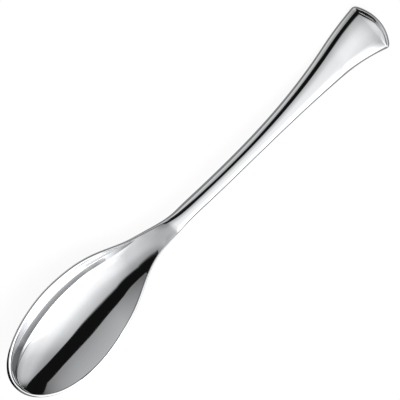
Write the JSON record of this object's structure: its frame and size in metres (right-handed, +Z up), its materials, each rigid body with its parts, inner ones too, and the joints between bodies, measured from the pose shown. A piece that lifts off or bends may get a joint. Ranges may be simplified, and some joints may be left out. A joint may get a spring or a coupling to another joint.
{
  "type": "tablespoon",
  "caption": "Polished steel tablespoon with a deep oval bowl, a slim oval waist and a handle that fans out to a curved end.",
  "frame": {"origin": "on the table, under the middle of the spoon's length and width", "axes": "+X from the handle's end to the tip of the bowl, +Y to the left seen from the handle, +Z up from the table"},
  "size_m": [0.205, 0.043, 0.0181],
  "materials": {
    "steel": "mirror-polished stainless steel"
  },
  "bodies": {
    "root": {"bowl": "steel", "handle": "steel"}
  },
  "joints": []
}
